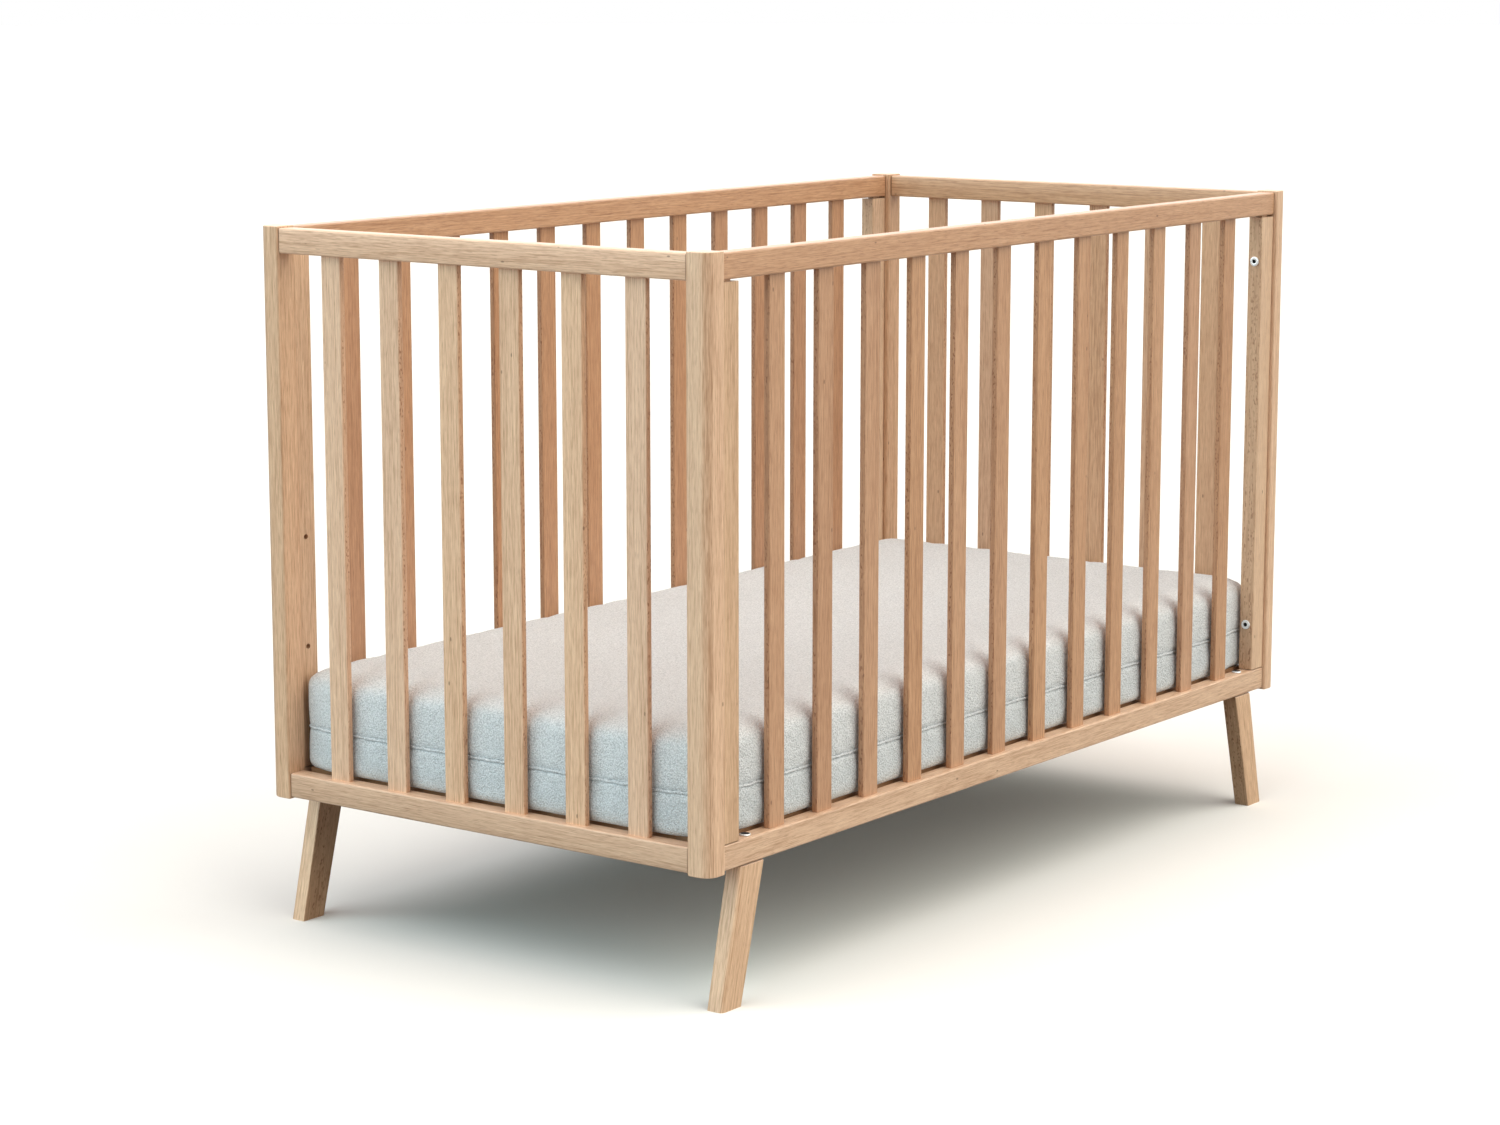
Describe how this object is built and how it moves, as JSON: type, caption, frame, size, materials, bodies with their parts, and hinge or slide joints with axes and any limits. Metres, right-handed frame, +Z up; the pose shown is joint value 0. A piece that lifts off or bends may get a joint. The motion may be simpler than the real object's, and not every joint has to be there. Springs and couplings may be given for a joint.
{
  "type": "baby crib",
  "caption": "Slatted wooden baby crib on splayed legs, with fixed sides, a height-adjustable bed base and a foam mattress.",
  "frame": {"origin": "on the floor, at the centre of the crib's overall box", "axes": "+X along the length, +Y across the width towards the back side, +Z up"},
  "size_m": [1.25, 0.64, 0.8145],
  "materials": {
    "beech_frame": "raw beech, fine straight grain, matt",
    "beech_end_panels": "raw beech, fine straight grain, matt",
    "beech_slats": "raw beech, fine straight grain, matt",
    "beech_legs": "raw beech, fine straight grain, matt",
    "beech_base": "raw beech, matt",
    "zinc": "bright zinc plate",
    "mattress_cover": "pale grey knitted cover, matt"
  },
  "bodies": {
    "frame": {"base_pin_back_left": "zinc", "base_pin_back_right": "zinc", "base_pin_front_left": "zinc", "base_pin_front_right": "zinc", "end_panel_left": "beech_end_panels", "end_panel_right": "beech_end_panels", "leg_back_left": "beech_legs", "leg_back_right": "beech_legs", "leg_bolt_back_left": "zinc", "leg_bolt_back_right": "zinc", "leg_bolt_front_left": "zinc", "leg_bolt_front_right": "zinc", "leg_front_left": "beech_legs", "leg_front_right": "beech_legs", "panel_bolt_back_left_lower": "zinc", "panel_bolt_back_left_upper": "zinc", "panel_bolt_back_right_lower": "zinc", "panel_bolt_back_right_upper": "zinc", "panel_bolt_front_left_lower": "zinc", "panel_bolt_front_left_upper": "zinc", "panel_bolt_front_right_lower": "zinc", "panel_bolt_front_right_upper": "zinc", "post_back_left": "beech_frame", "post_back_right": "beech_frame", "post_front_left": "beech_frame", "post_front_right": "beech_frame", "side_bottom_rail_back": "beech_frame", "side_bottom_rail_front": "beech_frame", "side_slat_back_01": "beech_slats", "side_slat_back_02": "beech_slats", "side_slat_back_03": "beech_slats", "side_slat_back_04": "beech_slats", "side_slat_back_05": "beech_slats", "side_slat_back_06": "beech_slats", "side_slat_back_07": "beech_slats", "side_slat_back_08": "beech_slats", "side_slat_back_09": "beech_slats", "side_slat_back_10": "beech_slats", "side_slat_back_11": "beech_slats", "side_slat_back_12": "beech_slats", "side_slat_front_01": "beech_slats", "side_slat_front_02": "beech_slats", "side_slat_front_03": "beech_slats", "side_slat_front_04": "beech_slats", "side_slat_front_05": "beech_slats", "side_slat_front_06": "beech_slats", "side_slat_front_07": "beech_slats", "side_slat_front_08": "beech_slats", "side_slat_front_09": "beech_slats", "side_slat_front_10": "beech_slats", "side_slat_front_11": "beech_slats", "side_slat_front_12": "beech_slats", "side_top_rail_back": "beech_frame", "side_top_rail_front": "beech_frame", "stile_back_left": "beech_frame", "stile_back_right": "beech_frame", "stile_front_left": "beech_frame", "stile_front_right": "beech_frame"},
    "bed_base": {"bed_base": "beech_base"},
    "mattress": {"mattress": "mattress_cover"}
  },
  "joints": [
    {"name": "bed_base_height", "type": "slide", "parent": "frame", "child": "bed_base", "axis": [0, 0, 1], "range_m": [0, 0.2908]},
    {"name": "mattress_lift", "type": "slide", "parent": "bed_base", "child": "mattress", "axis": [0, 0, 1], "range_m": [0, 0.66]}
  ]
}
